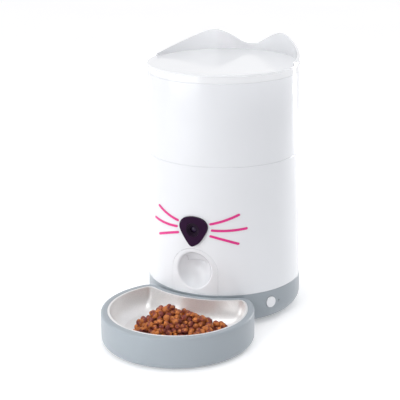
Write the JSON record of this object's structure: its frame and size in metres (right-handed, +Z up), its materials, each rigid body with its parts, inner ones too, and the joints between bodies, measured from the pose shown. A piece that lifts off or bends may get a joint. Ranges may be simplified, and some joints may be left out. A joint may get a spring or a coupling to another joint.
{
  "type": "automatic pet feeder",
  "caption": "Automatic pet feeder: white drum with a cat-ear lid, camera nose window, pink whiskers, arched food outlet, grey base and a crescent bowl with a steel insert.",
  "frame": {"origin": "on the floor, under the middle of the feeder's overall footprint, drum and bowl together", "axes": "+Z up, -Y the front where the nose and the bowl are, +X to the right of someone who faces the feeder"},
  "size_m": [0.1986, 0.34, 0.3454],
  "materials": {
    "white_gloss": "glossy white moulding, faint bluish shade",
    "white_inner": "satin white inner moulding",
    "clear_tank": "milky translucent food-grade plastic",
    "grey_plastic": "satin blue-grey moulding",
    "bowl_steel": "polished stainless steel",
    "nose_purple": "deep purple-black gloss window",
    "camera_black": "black gloss",
    "lens_glass": "dark coated lens",
    "whisker_pink": "magenta pink",
    "button_white": "white button cap",
    "rubber_dark": "soft dark rubber",
    "silicone": "soft translucent silicone",
    "board_green": "solder mask green",
    "part_black": "matt black moulding",
    "motor_steel": "plated steel can",
    "bright_steel": "ground steel",
    "bronze": "sintered bronze",
    "gear_plastic": "natural acetal",
    "cell_skin": "plain dark battery sleeve",
    "sachet": "white fleece bag"
  },
  "bodies": {
    "base": {"housing_shell": "white_gloss", "hopper_deck": "white_inner", "mid_deck": "white_inner", "nose_window": "nose_purple", "camera_bezel": "camera_black", "camera_lens": "lens_glass", "camera_module": "part_black", "camera_board": "board_green", "camera_bracket": "white_inner", "night_leds": "camera_black", "whisker_left_top": "whisker_pink", "whisker_left_middle": "whisker_pink", "whisker_left_bottom": "whisker_pink", "whisker_right_top": "whisker_pink", "whisker_right_middle": "whisker_pink", "whisker_right_bottom": "whisker_pink", "chute_cover": "white_gloss", "chute_duct": "white_inner", "flap_spring": "bright_steel", "metering_chamber": "white_inner", "shaft_bush": "bronze", "gear_case": "part_black", "gear_motor": "motor_steel", "main_board": "board_green", "wifi_module": "motor_steel", "speaker": "part_black", "base_shell": "grey_plastic", "base_plate": "grey_plastic", "battery_cover": "grey_plastic", "battery_tray": "part_black", "battery_contacts": "bright_steel", "battery_cells": "cell_skin", "base_feet": "rubber_dark", "base_screws": "bright_steel", "cover_screws": "bright_steel", "control_board": "board_green", "feed_switch": "part_black", "reset_switch": "part_black", "power_inlet": "part_black"},
    "lid": {"lid_shell": "white_gloss", "lid_liner": "white_inner", "lid_seal": "silicone", "desiccant_cup": "white_inner", "desiccant_sachet": "sachet"},
    "desiccant_cap": {"desiccant_cap": "white_inner"},
    "hopper": {"hopper_shell": "white_gloss", "food_tank": "clear_tank"},
    "rotor": {"rotor_shaft": "bright_steel", "rotor": "silicone", "agitator": "white_inner", "rotor_gear": "gear_plastic"},
    "pinion": {"drive_pinion": "gear_plastic", "motor_shaft": "bright_steel"},
    "flap": {"outlet_flap": "white_gloss", "flap_pin": "bright_steel"},
    "button": {"feed_button": "button_white"},
    "bowl_holder": {"bowl_holder": "grey_plastic", "bowl_base": "grey_plastic", "bowl_feet": "rubber_dark"},
    "bowl_insert": {"bowl_insert": "bowl_steel"}
  },
  "joints": [
    {"name": "hopper_lift", "type": "slide", "parent": "base", "child": "hopper", "axis": [0, 0, 1], "range_m": [0, 0.12]},
    {"name": "lid_lift", "type": "slide", "parent": "hopper", "child": "lid", "axis": [0, 0, 1], "range_m": [0, 0.1]},
    {"name": "desiccant_cap_turn", "type": "hinge", "parent": "lid", "child": "desiccant_cap", "pos_m": [0, 0.07075, 0.298], "axis": [0, 0, 1], "range_deg": [0, 90]},
    {"name": "rotor_spin", "type": "hinge", "parent": "base", "child": "rotor", "pos_m": [0, 0.07075, 0.16], "axis": [0, 0, 1], "continuous": true},
    {"name": "pinion_spin", "type": "hinge", "parent": "base", "child": "pinion", "pos_m": [0, 0.08825, 0.135], "axis": [0, 0, 1], "continuous": true},
    {"name": "flap_swing", "type": "hinge", "parent": "base", "child": "flap", "pos_m": [0, -0.02025, 0.099], "axis": [-1, 0, 0], "range_deg": [0, 33], "stiffness_Nm_per_rad": 0.0005, "springref_deg": -17.19},
    {"name": "button_press", "type": "slide", "parent": "base", "child": "button", "axis": [-0.8563, 0.5165, 0], "range_m": [0, 0.0012], "stiffness_N_per_m": 400, "springref_m": -0.001},
    {"name": "bowl_pull", "type": "slide", "parent": "base", "child": "bowl_holder", "axis": [0, -1, 0], "range_m": [0, 0.08]},
    {"name": "insert_lift", "type": "slide", "parent": "bowl_holder", "child": "bowl_insert", "axis": [0, 0, 1], "range_m": [0, 0.06]}
  ],
  "couplings": [
    {"joint": "pinion_spin", "follows": "rotor_spin", "ratio": -1.8}
  ]
}
